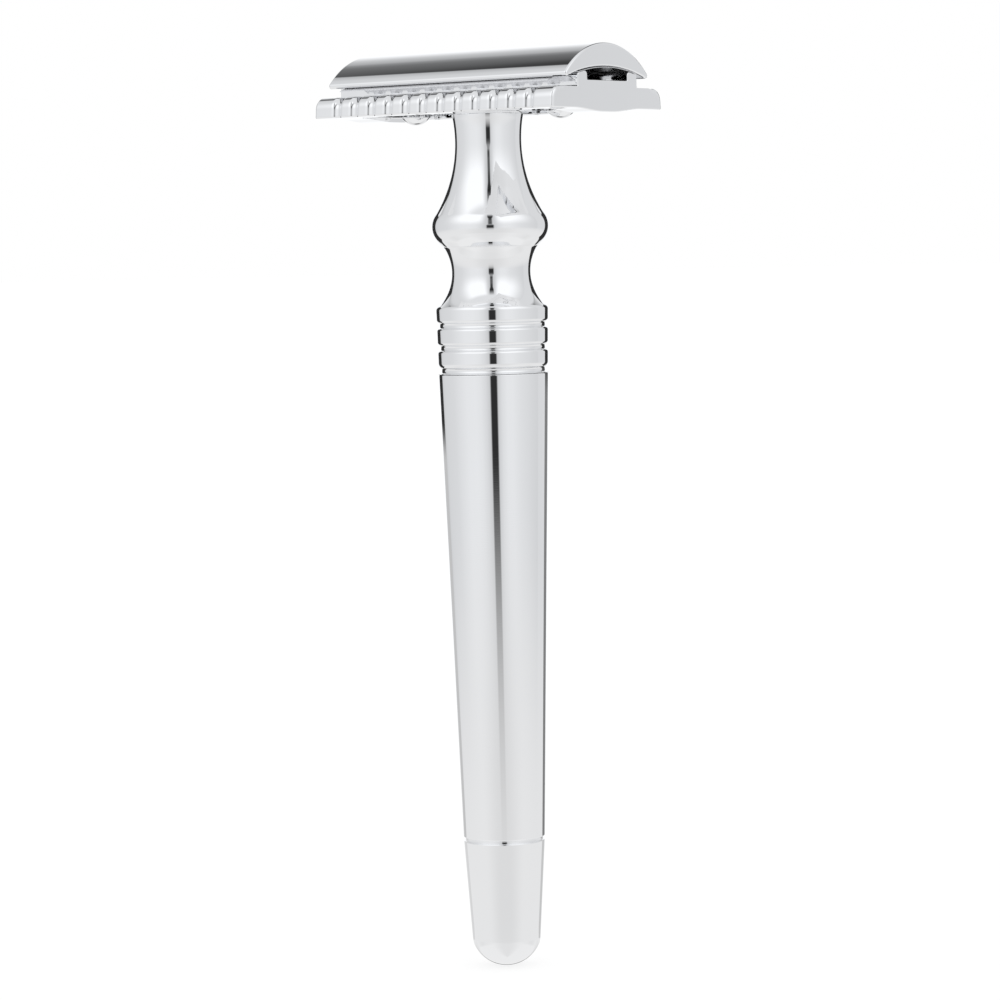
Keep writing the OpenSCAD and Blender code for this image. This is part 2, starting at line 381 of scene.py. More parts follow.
class Nodes:
    """A short way to write a material's or the world's node tree."""

    def __init__(self, tree):
        self.tree = tree
        tree.nodes.clear()

    def add(self, kind, **inputs):
        """A node of a kind, with its inputs given by name and spaces written as underscores."""
        node = self.tree.nodes.new(kind)
        for name, value in inputs.items():
            self.put(node, name.replace("_", " "), value)
        return node

    def put(self, node, name, value):
        """Gives an input a value, or links it to another node's output."""
        socket = node.inputs[name]
        if isinstance(value, bpy.types.NodeSocket):
            self.tree.links.new(value, socket)
        else:
            socket.default_value = value

    def math(self, operation, first, second=0.0, third=0.0):
        """The result of one arithmetic operation."""
        node = self.tree.nodes.new("ShaderNodeMath")
        node.operation = operation
        self.put(node, 0, first)
        self.put(node, 1, second)
        self.put(node, 2, third)
        return node.outputs[0]

    def ramp(self, factor, stops):
        """A grey ramp through (place, level) stops."""
        node = self.tree.nodes.new("ShaderNodeValToRGB")
        elements = node.color_ramp.elements
        while len(elements) > 1:
            elements.remove(elements[-1])
        for i, (place, level) in enumerate(stops):
            stop = elements[0] if i == 0 else elements.new(place)
            stop.position = place
            stop.color = (level, level, level, 1)
        self.tree.links.new(factor, node.inputs[0])
        return node.outputs[0]

    def smooth(self, value, start, end):
        """0 below start, 1 above end, and a smooth rise between."""
        node = self.tree.nodes.new("ShaderNodeMapRange")
        node.interpolation_type = "SMOOTHSTEP"
        self.put(node, "Value", value)
        self.put(node, "From Min", start)
        self.put(node, "From Max", end)
        return node.outputs["Result"]

    def fade(self, value, start, end):
        """1 below start, 0 above end, and a smooth fall between."""
        return self.math("SUBTRACT", 1.0, self.smooth(value, start, end))

    def scale_range(self, value, low, high):
        """Stretches a value from 0..1 to low..high."""
        node = self.tree.nodes.new("ShaderNodeMapRange")
        self.put(node, "Value", value)
        self.put(node, "To Min", low)
        self.put(node, "To Max", high)
        return node.outputs["Result"]

    def mix(self, factor, first, second):
        """The first number where the factor is 0, the second where it is 1."""
        node = self.tree.nodes.new("ShaderNodeMix")
        self.put(node, "Factor", factor)
        self.put(node, 2, first)
        self.put(node, 3, second)
        return node.outputs[0]

    def mix_colour(self, factor, first, second):
        """The same for two colours."""
        node = self.tree.nodes.new("ShaderNodeMix")
        node.data_type = "RGBA"
        self.put(node, 0, factor)
        self.put(node, 6, first)
        self.put(node, 7, second)
        return node.outputs[2]

    def noise(self, scale, stretch=(1, 1, 1), detail=4.0):
        """Noise in object space, drawn out along an axis by a small stretch factor."""
        place = self.tree.nodes.new("ShaderNodeTexCoord")
        mapping = self.tree.nodes.new("ShaderNodeMapping")
        mapping.inputs["Scale"].default_value = stretch
        self.tree.links.new(place.outputs["Object"], mapping.inputs["Vector"])
        node = self.tree.nodes.new("ShaderNodeTexNoise")
        self.put(node, "Vector", mapping.outputs[0])
        self.put(node, "Scale", scale)
        self.put(node, "Detail", detail)
        return node.outputs[0]

    def worn_edges(self):
        """About 1 along convex edges and 0 on open faces."""
        geometry = self.tree.nodes.new("ShaderNodeNewGeometry")
        return self.smooth(geometry.outputs["Pointiness"], 0.53, 0.62)


def metal(name, colours, roughness, grain, grain_stretch, grain_bump, wear):
    """A metal with a fine grain, cloudy finish and lighter, rubbed edges."""
    material = bpy.data.materials.new(name)
    material.use_nodes = True
    nodes = Nodes(material.node_tree)
    cloud = nodes.noise(60, detail=3)
    lines = nodes.noise(grain, grain_stretch, detail=6)
    edges = nodes.worn_edges()
    colour = nodes.mix_colour(cloud, colours[0], colours[1])
    colour = nodes.mix_colour(nodes.math("MULTIPLY", edges, wear), colour, colours[2])
    haze = nodes.math("ADD", nodes.math("MULTIPLY", cloud, 0.6), nodes.math("MULTIPLY", lines, 0.4))
    rough = nodes.scale_range(haze, roughness[0], roughness[1])
    rough = nodes.math("ADD", rough, nodes.math("MULTIPLY", edges, 0.05 * wear))
    bump = nodes.add("ShaderNodeBump", Strength=grain_bump, Distance=0.00002, Height=lines)
    shader = nodes.add("ShaderNodeBsdfPrincipled", Base_Color=colour, Metallic=1.0, Roughness=rough,
                       Normal=bump.outputs[0])
    nodes.add("ShaderNodeOutputMaterial", Surface=shader.outputs[0])
    return material


def chrome(name, grain_stretch):
    """Mirror chrome plate with the faintest polishing lines."""
    light, dark, rubbed = (0.935, 0.94, 0.95, 1), (0.915, 0.92, 0.93, 1), (0.96, 0.955, 0.945, 1)
    return metal(name, (light, dark, rubbed), (0.006, 0.03), 700, grain_stretch, 0.03, 0.3)


def steel(name, grain_stretch):
    """Plain machined steel, duller than the chrome."""
    light, dark, rubbed = (0.66, 0.66, 0.67, 1), (0.55, 0.55, 0.56, 1), (0.82, 0.82, 0.83, 1)
    return metal(name, (light, dark, rubbed), (0.16, 0.34), 900, grain_stretch, 0.25, 0.8)


def brass(name):
    """Turned brass with rings of tool marks."""
    light, dark, rubbed = (0.83, 0.66, 0.33, 1), (0.72, 0.54, 0.25, 1), (0.93, 0.80, 0.50, 1)
    return metal(name, (light, dark, rubbed), (0.14, 0.3), 900, (1, 1, 8), 0.25, 0.8)


def honed(name):
    """Bright steel with scratches across the ground edge."""
    light, dark, rubbed = (0.86, 0.87, 0.89, 1), (0.78, 0.79, 0.81, 1), (0.95, 0.95, 0.96, 1)
    return metal(name, (light, dark, rubbed), (0.08, 0.18), 2000, (0.02, 1, 1), 0.3, 0.5)


def rubber(name):
    """Matt black rubber with a dusty, slightly pitted skin."""
    material = bpy.data.materials.new(name)
    material.use_nodes = True
    nodes = Nodes(material.node_tree)
    dust = nodes.noise(400, detail=5)
    colour = nodes.mix_colour(dust, (0.018, 0.018, 0.02, 1), (0.05, 0.05, 0.052, 1))
    rough = nodes.scale_range(dust, 0.55, 0.8)
    bump = nodes.add("ShaderNodeBump", Strength=0.3, Distance=0.00002, Height=nodes.noise(5000))
    shader = nodes.add("ShaderNodeBsdfPrincipled", Base_Color=colour, Roughness=rough,
                       Normal=bump.outputs[0])
    nodes.add("ShaderNodeOutputMaterial", Surface=shader.outputs[0])
    return material


# ---------------------------------------------------------------- the head

def cap_arcs():
    """Radius of the crown, its slope in degrees at the lips, and the hollow's radius and half width."""
    drop = CAP_TOP - LIP_Z
    crown_r = (LIP_Y ** 2 + drop ** 2 - LIP_R ** 2) / (2 * (drop - LIP_R))
    lean = math.atan2(LIP_Z - (CAP_TOP - crown_r), LIP_Y)
    hollow_y = LIP_Y - LIP_R * math.cos(lean)
    hollow_drop = CAP_HOLLOW_Z - (LIP_Z - LIP_R * math.sin(lean))
    hollow_r = (hollow_y ** 2 + hollow_drop ** 2) / (2 * hollow_drop)
    return crown_r, math.degrees(lean), hollow_r, hollow_y


def cap_ring():
    """Half-moon section of the cap: outer arc, two rounded lips and a flatter hollow."""
    crown_r, lean, hollow_r, hollow_y = cap_arcs()
    half = math.degrees(math.asin(hollow_y / hollow_r))
    right_lip = arc((LIP_Y, LIP_Z), LIP_R, lean - 180, lean, 18)
    crown = arc((0, CAP_TOP - crown_r), crown_r, lean, 180 - lean, 120)[1:-1]
    left_lip = arc((-LIP_Y, LIP_Z), LIP_R, 180 - lean, 360 - lean, 18)
    under = arc((0, CAP_HOLLOW_Z - hollow_r), hollow_r, 90 + half, 90 - half, 60)[1:-1]
    return right_lip + crown + left_lip + under


def blade_arc():
    """Radius and centre height of the bend that the lips press into the blade."""
    centre = CAP_HOLLOW_Z - cap_arcs()[2]
    return math.hypot(LIP_Y, LIP_Z - centre) - LIP_R, centre


def make_cap(material):
    """The curved cap, with its sharp ends softly broken."""
    ring = cap_ring()
    start, end = bevelled_ends(HEAD_L, CAP_BEVEL)
    sections = [(x, inset(ring, depth)) for x, depth in start + end]
    return add_piece("cap_crown", sweep(sections), material, "cap", "cap")


def make_stud(side, material):
    """A guide stud with a domed end, reaching up into its socket in the cap."""
    dome = -STUD_TIP
    radius = (STUD_R ** 2 + dome ** 2) / (2 * dome)
    spread = math.degrees(math.asin(STUD_R / radius))
    outline = arc((0, STUD_TIP + radius), radius, -90, -90 + spread, 16)
    outline += [(STUD_R, CAP_HOLLOW_Z + 1), (0, CAP_HOLLOW_Z + 1)]
    bm = lathe(outline, x=STUD_X if side == "right" else -STUD_X, steps=96)
    return add_piece(f"stud_{side}", bm, material, "cap", f"guide_stud_{side}")


def thread_radius(height, turn):
    """Radius of a right-hand M5 thread at a height and at a part of a turn."""
    pitch, depth, crest, tip_chamfer, shank_z = 0.8, 0.46, POST_R - 0.02, 0.5, 2.6
    if height > shank_z:
        return crest
    phase = (height / pitch - turn) % 1
    flank = (abs(2 * phase - 1) - 0.15) / 0.7
    radius = crest - depth * min(max(flank, 0), 1)
    radius = max(radius, crest - depth + depth * (height - shank_z + 0.4) / 0.4)
    return min(radius, crest - tip_chamfer + (height - POST_TIP))


def make_post(material):
    """The threaded post, whose thread runs up to a plain shank under the cap."""
    steps, step_h = 96, 0.05
    top = CAP_HOLLOW_Z + 1
    bm = bmesh.new()
    rings = [[bm.verts.new((0, 0, PLATE_Z + POST_TIP))]]
    for i in range(int((top - POST_TIP) / step_h) + 1):
        height = POST_TIP + i * step_h
        ring = []
        for k in range(steps):
            angle = 2 * math.pi * k / steps
            radius = thread_radius(height, k / steps)
            ring.append(bm.verts.new((radius * math.cos(angle), radius * math.sin(angle),
                                      PLATE_Z + height)))
        rings.append(ring)
    rings.append([bm.verts.new((0, 0, PLATE_Z + height))])
    for low, high in zip(rings, rings[1:]):
        join_rings(bm, low, high)
    return add_piece("post_thread", bm, material, "cap", "cap_post", sharp=60)


def make_blade(strip, edge):
    """The bent blade: ground edges, a long slot with round holes, and notched corners."""
    ring = blade_ring()
    blade = add_piece("blade_strip", sweep([(-HEAD_L / 2, ring), (HEAD_L / 2, ring)]), strip,
                      "blade", "blade", sharp=25)
    low, high = 2, 8
    holes = [prism(long_hole(0, BLADE_SLOT_W, BLADE_SLOT_L, False), low, high)]
    tab_x, past_x, past_y = HEAD_L / 2 - BLADE_TAB_L, HEAD_L / 2 + 1, BLADE_HALF_W + 1
    for sx in (-1, 1):
        for sy in (-1, 1):
            notch = [(tab_x, BLADE_TAB_HALF), (past_x, BLADE_TAB_HALF), (past_x, past_y), (tab_x, past_y)]
            holes.append(prism([(sx * x, sy * y) for x, y in notch], low, high))
    cut(blade, holes, sharp=25)
    rounds = ((0, POST_R), (-STUD_X, STUD_R), (STUD_X, STUD_R))
    cut(blade, [prism(round_hole(x, r + BLADE_HOLE_GAP), low, high) for x, r in rounds], sharp=25)
    blade.data.materials.append(edge)
    radius = blade_arc()[0]
    ground_y = radius * math.sin((BLADE_HALF_W - BLADE_GROUND) / radius) * MM
    for face in blade.data.polygons:
        if abs(face.center.y) > ground_y:
            face.material_index = 1
    return blade


def blade_ring(steps=64):
    """The bent blade's section, which thins towards both ground edges."""
    radius, centre = blade_arc()
    places = [BLADE_HALF_W * (2 * i / steps - 1) for i in range(steps + 1)]
    places = sorted(places + [BLADE_GROUND - BLADE_HALF_W, BLADE_HALF_W - BLADE_GROUND])
    top, under = [], []
    for place in places:
        angle = place / radius
        thick = BLADE_T * min(1, 0.1 + 0.9 * (BLADE_HALF_W - abs(place)) / BLADE_GROUND)
        for rim, side in ((top, 0.5), (under, -0.5)):
            reach = radius - BLADE_T / 2 + side * thick
            rim.append((reach * math.sin(angle), centre + reach * math.cos(angle)))
    return under + top[::-1]


def base_half():
    """Right half of the base plate's section, from its keel round to the channel's middle.

    Each point is (y, z, back, down). A flute moves it back and down by those shares of its depth.
    """
    keel = [(0, -KEEL_D, 0, 0)]
    for i in range(25):
        y = KEEL_FLAT + (KEEL_HALF_W - KEEL_FLAT) * i / 24
        keel.append((y, -KEEL_D * (1 + math.cos(math.pi * i / 24)) / 2, 0, 0))
    top_y = BASE_W / 2 - BAR_LEAN
    corner_y, corner_z = top_y - BAR_CORNER_R, BAR_T - BAR_CORNER_R
    foot = rounded([(KEEL_HALF_W, 0), (BASE_W / 2, 0, FOOT_R), (top_y, corner_z)], steps=6)[1:-1]
    foot_y = foot[-1][0]
    wall = []
    for i in range(1, 7):
        wall.append((foot_y + (top_y - foot_y) * i / 6, FOOT_R + (corner_z - FOOT_R) * i / 6, 1, 0))
    corner = []
    for i in range(1, 17):
        back, down = math.cos(math.pi / 2 * i / 16), math.sin(math.pi / 2 * i / 16)
        growth = 1 + FLUTE_GROWTH * i / 16
        corner.append((corner_y + BAR_CORNER_R * back, corner_z + BAR_CORNER_R * down,
                       growth * back, growth * down))
    run_out = []
    for i in range(1, 7):
        fade = (1 + math.cos(math.pi * i / 6)) / 2
        run_out.append((corner_y - FLUTE_RUN * i / 6, BAR_T, 0, (1 + FLUTE_GROWTH) * fade))
    radius, centre = blade_arc()
    under_blade = radius - BLADE_T
    rail = rounded([
        (corner_y, BAR_T), (RAIL_OUT, BAR_T, 0.2),
        (RAIL_OUT, rail_top(RAIL_OUT, under_blade, centre), 0.5),
        (RAIL_IN, rail_top(RAIL_IN, under_blade, centre), 0.55),
        (RAIL_IN, CHANNEL_Z, 0.18), (0, CHANNEL_Z)], steps=8)[1:]
    return (keel + [(y, z, 1, 0) for y, z in foot] + wall + corner + run_out
            + [(y, z, 0, 0) for y, z in rail])


def rail_top(y, radius, centre):
    """Height of a rail where it all but touches the blade."""
    return centre + math.sqrt(radius ** 2 - y ** 2) - RAIL_GAP


def wall_cut(x):
    """How far the wall stands back at station x, in a flute or at the plate's rounded ends."""
    from_end = HEAD_L / 2 - abs(x)
    if from_end < BASE_END_R:
        return BASE_END_R - math.sqrt(BASE_END_R ** 2 - (BASE_END_R - from_end) ** 2)
    first = -(FLUTE_N - 1) / 2 * FLUTE_PITCH
    index = min(max(round((x - first) / FLUTE_PITCH), 0), FLUTE_N - 1)
    return cove(abs(x - first - index * FLUTE_PITCH), FLUTE_R, FLUTE_D, FLUTE_EDGE_R)


def base_ring(x, half):
    """The base plate's whole section at station x, with its wall cut back there."""
    depth = wall_cut(x)
    right = [(y - depth * back, z - depth * down) for y, z, back, down in half]
    left = [(-y, z) for y, z in reversed(right[1:-1])]
    return right + left


def base_stations():
    """Places along the head where the section changes: close together at flute edges."""
    near = (0, 0.1, 0.2, 0.3, 0.39, 0.47, 0.54, 0.6, 0.65, 0.7, 0.76, 0.83, 0.9, 0.95, 1.01, 1.2)
    places = []
    for i in range(FLUTE_N):
        middle = (i - (FLUTE_N - 1) / 2) * FLUTE_PITCH
        places += [middle + side * away for away in near[1:] for side in (-1, 1)]
        places.append(middle)
    for i in range(1, 9):
        from_end = BASE_BEVEL + (BASE_END_R - BASE_BEVEL) * i / 8
        places += [from_end - HEAD_L / 2, HEAD_L / 2 - from_end]
    return sorted(places)


def hollow_cutter():
    """The shallow hollow under the plate, with a softly rounded rim."""
    half_x, half_y = HOLLOW_L / 2, HOLLOW_W / 2
    corners = [(x, y, HOLLOW_CORNER_R) for x, y in
               ((half_x, -half_y), (half_x, half_y), (-half_x, half_y), (-half_x, -half_y))]
    outline = rounded(corners, closed=True, steps=10)
    levels = [(-2, HOLLOW_EDGE_R)]
    for i in range(1, 6):
        left = HOLLOW_EDGE_R * (1 - i / 5)
        levels.append((HOLLOW_EDGE_R - left, HOLLOW_EDGE_R - math.sqrt(HOLLOW_EDGE_R ** 2 - left ** 2)))
    levels.append((SEAT_Z, 0))
    bm = bmesh.new()
    rings = []
    for height, spread in levels:
        rings.append([bm.verts.new((x, y, PLATE_Z + height)) for x, y in inset(outline, -spread)])
    for low, high in zip(rings, rings[1:]):
        join_rings(bm, low, high)
    bm.faces.new(rings[0])
    bm.faces.new(rings[-1])
    bmesh.ops.recalc_face_normals(bm, faces=bm.faces)
    return bm


def make_base_plate(material):
    """The fluted plate, swept along the head and then cut for hollow, post, studs and drains."""
    half = base_half()
    start, end = bevelled_ends(HEAD_L, BASE_BEVEL)
    stations = start + [(x, 0) for x in base_stations()] + end
    sections = []
    for x, depth in stations:
        ring = base_ring(x, half)
        sections.append((x, inset(ring, depth) if depth else ring))
    plate = add_piece("base_plate_bars", sweep(sections), material, "base_plate", "base_plate")
    cut(plate, [hollow_cutter()])
    low, high = -3, 8
    holes = [prism(round_hole(0, POST_R + CLEAR), low, high)]
    for side in (-1, 1):
        holes.append(prism(round_hole(side * STUD_X, STUD_R + CLEAR), low, high))
        holes.append(prism(long_hole(side * DRAIN_X, DRAIN_W, DRAIN_L, True), low, high))
    cut(plate, holes)
    return plate


# ---------------------------------------------------------------- the handle

def neck_outline():
    """The neck from its insert's pocket over the seat, and down to its spigot's bore."""
    flare_turn = math.degrees(math.acos(1 - (BULB_R - NECK_R) / (FLARE_ARC + BULB_ARC)))
    flare_z = BULB_Z + (FLARE_ARC + BULB_ARC) * math.sin(math.radians(flare_turn))
    top_turn = math.degrees(math.asin((SHOULDER_Z - flare_z) / FLARE_ARC))
    ledge_turn = math.degrees(math.acos(1 - (LEDGE_R - WAIST_R) / WAIST_ARC))
    pocket = [(0, SEAT_Z - INSERT_L), (INSERT_R, SEAT_Z - INSERT_L), (INSERT_R, SEAT_Z - FLANGE_T),
              (FLANGE_R, SEAT_Z - FLANGE_T), (FLANGE_R, SEAT_Z)]
    flare = arc((NECK_R + FLARE_ARC, flare_z), FLARE_ARC, 180 - top_turn, 180 + flare_turn, 60)
    bulb = arc((BULB_R - BULB_ARC, BULB_Z), BULB_ARC, flare_turn, -BULB_UNDER, 48)[1:]
    waist = arc((WAIST_R + WAIST_ARC, WAIST_Z), WAIST_ARC, 180 - ledge_turn, 180 + ring_turn(), 72)
    ledge = Vector(waist[0])
    above = ledge + (Vector(bulb[-1]) - ledge).normalized() * 2 * CREASE_D
    slope = [tuple(Vector(bulb[-1]).lerp(above, i / 8)) for i in range(1, 9)]
    crease = slope + [(ledge.x - CREASE_D, ledge.y)]
    shoulder = rounded([pocket[-1], (BOSS_R, SEAT_Z, 0.12), (BOSS_R, SHOULDER_Z, 0.1),
                        (*flare[0], SHOULDER_R), flare[4]], steps=6)[1:-1]
    return (pocket + shoulder + flare[4:] + bulb + crease + waist[1:] + ring_outline()
            + spigot_outline())


def ring_turn():
    """Slope at which the waist's hollow runs into the rounded top of the first ring."""
    reach = WAIST_R + WAIST_ARC - RING_R + RING_TOP_R
    return math.degrees(math.acos(reach / (WAIST_ARC + RING_TOP_R)))


def ring_outline():
    """Three rings on a slight cone, with a round cove below each."""
    turn = ring_turn()
    top_z = WAIST_Z - (WAIST_ARC + RING_TOP_R) * math.sin(math.radians(turn))
    points = arc((RING_R - RING_TOP_R, top_z), RING_TOP_R, turn, 0, 10)[1:]
    joint_z = RING_TOP_Z - RING_N * RING_PITCH
    steps = 20
    for i in range(RING_N):
        middle = RING_TOP_Z - COVE_BELOW - i * RING_PITCH
        upper_r = LAST_EDGE_R if i == RING_N - 1 else COVE_EDGE_R
        for edge_r, side in ((upper_r, 1), (COVE_EDGE_R, -1)):
            half = cove_half(COVE_R, COVE_D, edge_r)
            for k in range(steps):
                away = half * (1 - k / steps if side > 0 else (k + 1) / steps)
                z = max(middle + side * away, joint_z)
                cone = RING_R - RING_TAPER * (RING_TOP_Z - z) / RING_PITCH
                points.append((cone - cove(away, COVE_R, COVE_D, edge_r), z))
    return points


def spigot_outline():
    """The plug that fits inside the barrel, with its seal's groove and the rod's bore."""
    top = RING_TOP_Z - RING_N * RING_PITCH
    seal_z = top - SEAL_FROM_END
    return [(NECK_PLUG_R, top), (NECK_PLUG_R, seal_z), (NECK_PLUG_R - SEAL_D, seal_z),
            (NECK_PLUG_R - SEAL_D, seal_z - SEAL_W), (NECK_PLUG_R, seal_z - SEAL_W),
            (NECK_PLUG_R, top - PLUG_L), (ROD_R, top - PLUG_L), (ROD_R, ROD_TOP_Z), (0, ROD_TOP_Z)]


def make_neck(material):
    """Neck, rings and spigot, turned in one piece."""
    return add_piece("neck_turning", lathe(neck_outline()), material, "handle", "handle_neck")


def make_barrel(material):
    """The long tapered tube, with softly broken edges at both ends."""
    top, low = barrel_high.z - PLATE_Z, barrel_low.z - PLATE_Z
    top_r, low_r = barrel_high.x, BARREL_END_R
    outline = rounded([
        (FOOT_PLUG_R, low), (low_r, low, LOW_EDGE_R), (top_r, top, TOP_EDGE_R), (NECK_PLUG_R, top),
        (NECK_PLUG_R, top - PLUG_L), (FOOT_PLUG_R, top - PLUG_L)], closed=True, steps=6)
    return add_piece("barrel_grip", lathe(outline, closed=True), material, "handle", "barrel")


def make_foot(material):
    """The rounded foot, its fine groove, and the plug that closes the barrel."""
    low, top = foot_low.z - PLATE_Z, barrel_low.z - PLATE_Z
    side_r, gap_z = foot_high.x, top - FOOT_GAP
    slope = (side_r - FOOT_END_R) / (gap_z - low)
    dome = arc((0, low + DOME_R), DOME_R, -90, DOME_END, 30)
    meet_z = dome[-1][1] + 0.35
    side_z = dome[-1][1] + 2
    blend = rounded([dome[-2], (FOOT_END_R + slope * (meet_z - low), meet_z, DOME_BLEND_R),
                     (FOOT_END_R + slope * (side_z - low), side_z)], steps=10)[1:-1]
    seal_z = top + SEAL_FROM_END
    corners = [blend[-1], (side_r, gap_z, FOOT_EDGE_R), (side_r - GAP_D, gap_z + 0.02, 0.05),
               (side_r - GAP_D, top), (FOOT_PLUG_R, top), (FOOT_PLUG_R, seal_z),
               (FOOT_PLUG_R - SEAL_D, seal_z), (FOOT_PLUG_R - SEAL_D, seal_z + SEAL_W),
               (FOOT_PLUG_R, seal_z + SEAL_W), (FOOT_PLUG_R, top + PLUG_L), (ROD_R, top + PLUG_L),
               (ROD_R, low + ROD_END), (0, low + ROD_END)]
    outline = dome[:-2] + blend[:-1] + rounded(corners, steps=6)
    return add_piece("foot_end", lathe(outline), material, "handle", "foot_cap")


# ---------------------------------------------------------------- studio

SQUARE = ((-1, -1), (1, -1), (1, 1), (-1, 1))
FLOOR_REACH = 20000
FLOOR_GREY = (0.32, 0.32, 0.32, 1)
FLOOR_GLOW = 0.72

TABLE_Z = -87
TABLE_LEVEL = 0.84
TABLE_FRONT_LEVEL = 0.755
TABLE_NEAR_LIFT = 0.05
TABLE_EDGE = (350, 1500)            # the table fades out between these distances
TABLE_BAND = (140, 180, 260, 310)   # the shaded band fades in, then out, between these
TABLE_NEAR = (150, 330)             # the bright middle fades out between these
TABLE_FRONT = (11, 60)              # the duller front fades out between these degrees

LEFT_CARD = {"azimuth": -148, "black_z": 77, "low_level": 0.56, "foot_level": 0.70}
RIGHT_CARD = {"azimuth": 148, "black_z": 86, "low_level": 0.22, "foot_level": 0.58}
CARD_AWAY = 400
CARD_HALF_W = 81
CARD_LOW = -84
CARD_TOP = 250
CARD_BLACK = 0.03

# The shaded band on the table, as (degrees round from the camera, brightness)
BAND_ROUND = ((-180, 0.10), (-174, 0.12), (-167, 0.66), (-150, 0.80), (-122, 0.86), (-98, 0.80),
              (-78, 0.84), (-50, 0.87), (-12, 0.79), (12, 0.79), (50, 0.87), (78, 0.84), (98, 0.80),
              (122, 0.86), (150, 0.80), (167, 0.66), (174, 0.12), (180, 0.10))
# What stands round the razor, as (degrees round from the camera, brightness). Minus is left.
ROUND = ((-180, 0.5), (-140, 0.52), (-133, 0.68), (-125, 0.71), (-95, 0.74), (-80, 0.79), (-60, 0.85),
         (-40, 0.86), (-28, 0.83), (-17, 0.75), (-9, 0.64), (0, 0.60), (9, 0.66), (17, 0.78),
         (28, 0.85), (40, 0.85), (58, 0.79), (74, 0.755), (89, 0.72), (106, 0.69), (109, 0.735),
         (137, 0.74), (142, 0.40), (180, 0.40))
# What stands behind the razor, as (degrees above the horizon, brightness)
BEHIND = ((-90, 1.05), (14, 1.03), (21, 0.86), (28, 0.62), (36, 0.43), (38, 0.30), (42, 0.18),
          (48, 0.11), (51, 0.05), (56, 0.05), (64, 0.8), (90, 0.8))
# The dark gap round the camera, as (degrees above the horizon, brightness)
GAP = ((-90, 0.015), (0, 0.03), (3, 0.10), (6, 0.28), (9, 0.28), (11, 0.08), (14, 0.07), (17, 0.11),
       (27, 0.11), (32, 0.06), (43, 0.03), (46, 0.015), (90, 0.015))

CAMERA_AZIMUTH = 37.34
CAMERA_DISTANCE = 0.5731
CAMERA_BELOW_HEAD = 0.0207
CAMERA_YAW, CAMERA_PITCH, CAMERA_ROLL = 37.29, -3.52, -1.34
CAMERA_LENS = 141.95


def make_camera():
    """The viewpoint, a little below the head and turned slightly to one side."""
    data = bpy.data.cameras.new("camera")
    data.lens = CAMERA_LENS
    data.sensor_width = 36
    camera = bpy.data.objects.new("camera", data)
    bpy.context.scene.collection.objects.link(camera)
    around = math.radians(CAMERA_AZIMUTH)
    place = Vector((math.sin(around) * CAMERA_DISTANCE, -math.cos(around) * CAMERA_DISTANCE,
                    PLATE_Z * MM - CAMERA_BELOW_HEAD))
    turn = (Matrix.Rotation(math.radians(CAMERA_YAW), 4, "Z")
            @ Matrix.Rotation(math.radians(90 + CAMERA_PITCH), 4, "X")
            @ Matrix.Rotation(math.radians(CAMERA_ROLL), 4, "Z"))
    camera.matrix_world = Matrix.Translation(place) @ turn
    data.clip_start = 0.01
    bpy.context.scene.camera = camera


def add_sheet(name, corners):
    """A flat sheet of the studio through corners in millimetres, and its material's empty tree."""
    bm = bmesh.new()
    bm.faces.new([bm.verts.new(Vector(corner) * MM) for corner in corners])
    mesh = bpy.data.meshes.new(name)
    bm.to_mesh(mesh)
    bm.free()
    sheet = bpy.data.objects.new(name, mesh)
    bpy.context.scene.collection.objects.link(sheet)
    material = bpy.data.materials.new(name)
    material.use_nodes = True
    mesh.materials.append(material)
    return sheet, Nodes(material.node_tree)


def make_floor():
    """A plain pale floor that meets the white backdrop without a line."""
    floor, nodes = add_sheet("floor", [(x * FLOOR_REACH, y * FLOOR_REACH, 0) for x, y in SQUARE])
    floor.visible_glossy = False
    glow = nodes.add("ShaderNodeEmission", Strength=FLOOR_GLOW)
    matt = nodes.add("ShaderNodeBsdfDiffuse", Color=FLOOR_GREY)
    both = nodes.tree.nodes.new("ShaderNodeAddShader")
    nodes.put(both, 0, glow.outputs[0])
    nodes.put(both, 1, matt.outputs[0])
    nodes.add("ShaderNodeOutputMaterial", Surface=both.outputs[0])


def reflected_only(name, corners, light):
    """A glowing sheet that only shows in reflections. Its light gives a brightness and a cover."""
    sheet, nodes = add_sheet(name, corners)
    sheet.visible_camera = False
    sheet.visible_diffuse = False
    sheet.visible_shadow = False
    level, cover = light(nodes)
    glow = nodes.add("ShaderNodeEmission", Strength=level)
    clear = nodes.add("ShaderNodeBsdfTransparent")
    both = nodes.tree.nodes.new("ShaderNodeMixShader")
    nodes.put(both, 0, cover)
    nodes.put(both, 1, clear.outputs[0])
    nodes.put(both, 2, glow.outputs[0])
    nodes.add("ShaderNodeOutputMaterial", Surface=both.outputs[0])


def place_mm(nodes):
    """The shaded point's x, y and z in millimetres."""
    geometry = nodes.tree.nodes.new("ShaderNodeNewGeometry")
    split = nodes.tree.nodes.new("ShaderNodeSeparateXYZ")
    nodes.put(split, 0, geometry.outputs["Position"])
    return [nodes.math("DIVIDE", axis, MM) for axis in split.outputs]


def around_camera(nodes, x, y):
    """Degrees that the level direction (x, y) lies round from the camera. Minus is left."""
    around = math.radians(CAMERA_AZIMUTH)
    ahead = nodes.math("MULTIPLY_ADD", x, math.sin(around), nodes.math("MULTIPLY", y, -math.cos(around)))
    right = nodes.math("MULTIPLY_ADD", x, math.cos(around), nodes.math("MULTIPLY", y, math.sin(around)))
    return nodes.math("MULTIPLY", nodes.math("ARCTAN2", right, ahead), 180 / math.pi)


def by_azimuth(nodes, azimuth, levels):
    """Brightness from a list of (degrees round from the camera, brightness)."""
    return nodes.ramp(nodes.math("MULTIPLY_ADD", azimuth, 1 / 360, 0.5),
                      [(degrees / 360 + 0.5, level) for degrees, level in levels])


